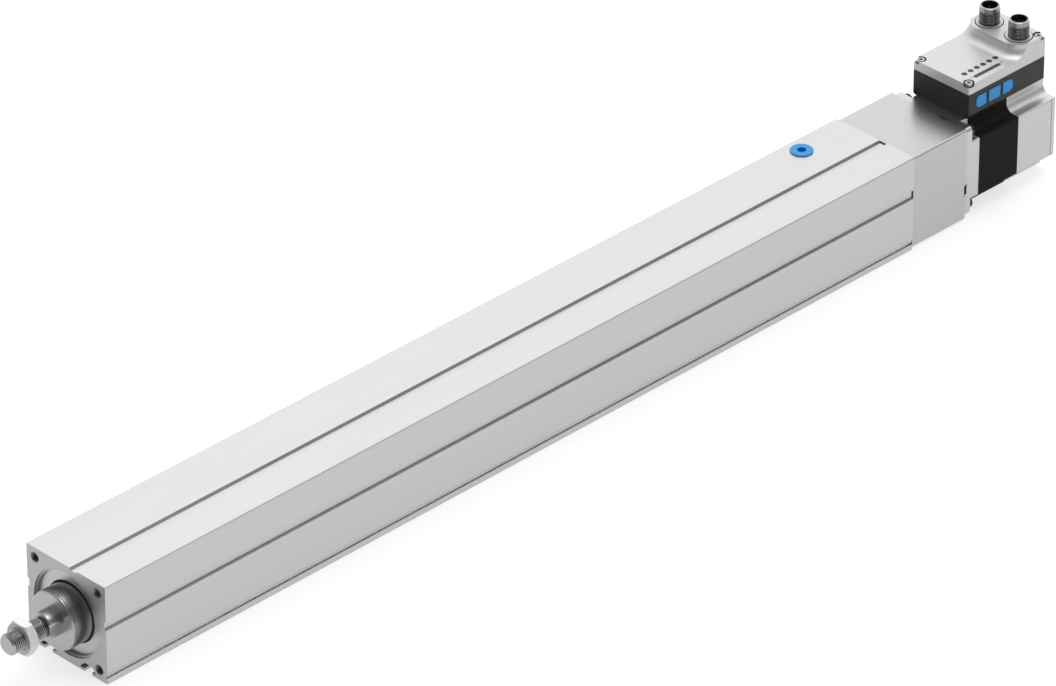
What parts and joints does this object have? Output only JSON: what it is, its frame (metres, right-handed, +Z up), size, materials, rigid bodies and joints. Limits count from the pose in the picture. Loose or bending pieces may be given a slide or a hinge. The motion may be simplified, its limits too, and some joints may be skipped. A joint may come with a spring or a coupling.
{
  "type": "electric cylinder",
  "caption": "Square extruded electric cylinder with a threaded piston rod, an inline motor and an electronics box with keys and round plug sockets on top.",
  "frame": {"origin": "centre of the barrel's front face, on the rod axis, with the rod fully retracted", "axes": "+X along the rod axis, the way the rod extends; +Z up towards the electronics box; +Y is the side with the keys"},
  "size_m": [0.7709, 0.06, 0.0988],
  "materials": {
    "anodised_extrusion": "natural anodised, fine lengthwise drawing marks",
    "anodised_block": "natural anodised, satin",
    "bright_cap": "turned, bright",
    "spring_steel": "phosphated, dark",
    "black_rubber": "matt",
    "bush_bronze": "sintered bronze with a sliding layer",
    "key_blue": "fine satin",
    "polished_rod": "ground and polished stainless steel",
    "zinc_steel": "bright zinc plated",
    "carrier_aluminium": "turned",
    "guide_plastic": "filled acetal",
    "magnet_plastic": "plastic-bonded ferrite",
    "ground_steel": "ground",
    "black_steel": "black oxide",
    "coupling_aluminium": "turned",
    "spider_red": "polyurethane",
    "cast_aluminium": "die cast and machined, satin",
    "core_steel": "stacked laminations, black finish",
    "winding_copper": "enamelled copper wire",
    "magnet_nickel": "nickel plated",
    "board_green": "circuit board",
    "base_black": "moulded, fine grain",
    "cover_grey": "fine satin powder coat on a die casting",
    "cover_screw_steel": "stainless",
    "lamp_dark": "smoked clear",
    "window_dark": "smoked clear",
    "connector_nickel": "dark nickel plated",
    "insert_black": "moulded",
    "pin_gold": "gold plated"
  },
  "bodies": {
    "housing": {"barrel": "anodised_extrusion", "front_bearing_cap": "bright_cap", "cap_retaining_ring": "spring_steel", "rod_wiper_seal": "black_rubber", "rod_guide_bush": "bush_bronze", "end_buffers": "black_rubber", "port_plug": "key_blue", "coupling_housing": "anodised_block", "housing_gasket": "black_rubber", "spindle_bearings_outer": "ground_steel", "bearing_clamp_ring": "black_steel", "motor_flange": "cast_aluminium", "motor_screws": "black_steel", "stator_stack": "core_steel", "stator_windings": "winding_copper", "motor_rear_cap": "cast_aluminium", "motor_end_cover": "cast_aluminium", "end_cover_screws": "black_steel", "motor_bearings_outer": "ground_steel", "encoder_board": "board_green", "electronics_base": "base_black", "base_screws": "black_steel", "drive_board": "board_green", "key_board": "board_green", "cover_gasket": "black_rubber", "electronics_cover": "cover_grey", "cover_screws": "cover_screw_steel", "light_guides": "lamp_dark", "display_window": "window_dark", "power_connector_shell": "connector_nickel", "signal_connector_shell": "connector_nickel", "connector_collars": "connector_nickel", "connector_seals": "black_rubber", "connector_nuts": "connector_nickel", "connector_inserts": "insert_black", "connector_pins": "pin_gold"},
    "rod": {"piston_rod": "polished_rod", "rod_end": "polished_rod", "rod_nut": "zinc_steel", "nut_carrier": "carrier_aluminium", "guide_pads": "guide_plastic", "guide_ring": "guide_plastic", "piston_magnet": "magnet_plastic", "ball_nut": "ground_steel", "ball_nut_clamp_ring": "black_steel"},
    "spindle": {"ball_screw": "ground_steel", "screw_support": "guide_plastic", "screw_support_clip": "spring_steel", "spindle_bearings_inner": "ground_steel", "spindle_lock_nut": "black_steel", "coupling_hub_screw": "coupling_aluminium", "coupling_spider": "spider_red", "coupling_hub_motor": "coupling_aluminium", "motor_bearings_inner": "ground_steel", "motor_shaft": "ground_steel", "motor_rotor": "core_steel", "encoder_magnet": "magnet_nickel"},
    "key_front": {"key_front": "key_blue"},
    "key_middle": {"key_middle": "key_blue"},
    "key_rear": {"key_rear": "key_blue"}
  },
  "joints": [
    {"name": "rod_slide", "type": "slide", "parent": "housing", "child": "rod", "axis": [1, 0, 0], "range_m": [0, 0.5]},
    {"name": "spindle_spin", "type": "hinge", "parent": "housing", "child": "spindle", "pos_m": [0, 0, 0], "axis": [1, 0, 0], "continuous": true},
    {"name": "key_front_press", "type": "slide", "parent": "housing", "child": "key_front", "axis": [0, -1, 0], "range_m": [0, 0.0003], "stiffness_N_per_m": 2500},
    {"name": "key_middle_press", "type": "slide", "parent": "housing", "child": "key_middle", "axis": [0, -1, 0], "range_m": [0, 0.0003], "stiffness_N_per_m": 2500},
    {"name": "key_rear_press", "type": "slide", "parent": "housing", "child": "key_rear", "axis": [0, -1, 0], "range_m": [0, 0.0003], "stiffness_N_per_m": 2500}
  ],
  "couplings": [
    {"joint": "spindle_spin", "follows": "rod_slide", "rad_per_m": -523.6}
  ]
}
